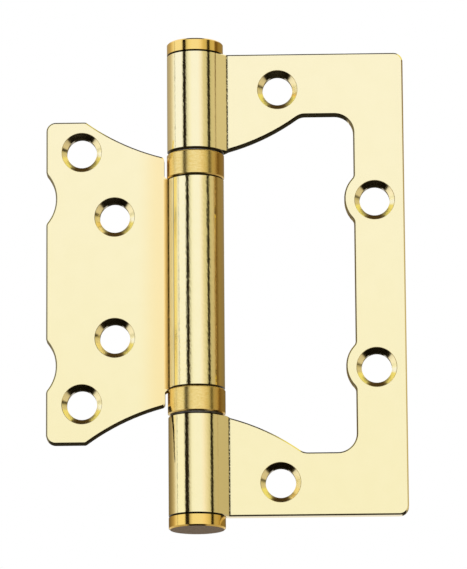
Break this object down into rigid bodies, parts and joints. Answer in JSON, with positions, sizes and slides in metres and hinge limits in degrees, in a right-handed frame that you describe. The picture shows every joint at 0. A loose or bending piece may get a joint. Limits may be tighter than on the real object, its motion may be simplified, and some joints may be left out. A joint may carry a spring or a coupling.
{
  "type": "non-mortise butt hinge",
  "caption": "Non-mortise butt hinge: a small leaf nests in the window of a large one, with ball bearings between the knuckles.",
  "frame": {"origin": "middle of the pin, on its axis, half way up the hinge", "axes": "+Z along the pin towards the upper tip, +X from the pin into the outer leaf, +Y out of the plain back of the leaves, so the countersunk faces look towards -Y"},
  "size_m": [0.0762, 0.0122, 0.1052],
  "materials": {
    "polished_brass": "bright plated brass, polished",
    "satin_brass": "turned brass, satin",
    "bearing_steel": "ground and lightly oiled"
  },
  "bodies": {
    "outer_leaf_set": {"hinge_pin": "bearing_steel", "lower_thrust_race": "bearing_steel", "lower_tip": "polished_brass", "outer_leaf": "polished_brass", "upper_thrust_race": "bearing_steel", "upper_tip": "polished_brass"},
    "inner_leaf_set": {"inner_leaf": "polished_brass", "upper_case": "satin_brass", "lower_case": "satin_brass", "upper_seat_race": "bearing_steel", "lower_seat_race": "bearing_steel"},
    "upper_balls": {"upper_ball_01": "bearing_steel", "upper_ball_02": "bearing_steel", "upper_ball_03": "bearing_steel", "upper_ball_04": "bearing_steel", "upper_ball_05": "bearing_steel", "upper_ball_06": "bearing_steel", "upper_ball_07": "bearing_steel", "upper_ball_08": "bearing_steel", "upper_ball_09": "bearing_steel", "upper_ball_10": "bearing_steel"},
    "lower_balls": {"lower_ball_01": "bearing_steel", "lower_ball_02": "bearing_steel", "lower_ball_03": "bearing_steel", "lower_ball_04": "bearing_steel", "lower_ball_05": "bearing_steel", "lower_ball_06": "bearing_steel", "lower_ball_07": "bearing_steel", "lower_ball_08": "bearing_steel", "lower_ball_09": "bearing_steel", "lower_ball_10": "bearing_steel"}
  },
  "joints": [
    {"name": "leaf_swing", "type": "hinge", "parent": "outer_leaf_set", "child": "inner_leaf_set", "pos_m": [0, 0, 0], "axis": [0, 0, 1], "range_deg": [0, 180]},
    {"name": "upper_ball_roll", "type": "hinge", "parent": "outer_leaf_set", "child": "upper_balls", "pos_m": [0, 0, 0], "axis": [0, 0, 1], "range_deg": [0, 90]},
    {"name": "lower_ball_roll", "type": "hinge", "parent": "outer_leaf_set", "child": "lower_balls", "pos_m": [0, 0, 0], "axis": [0, 0, 1], "range_deg": [0, 90]}
  ],
  "couplings": [
    {"joint": "upper_ball_roll", "follows": "leaf_swing", "ratio": 0.5},
    {"joint": "lower_ball_roll", "follows": "leaf_swing", "ratio": 0.5}
  ]
}
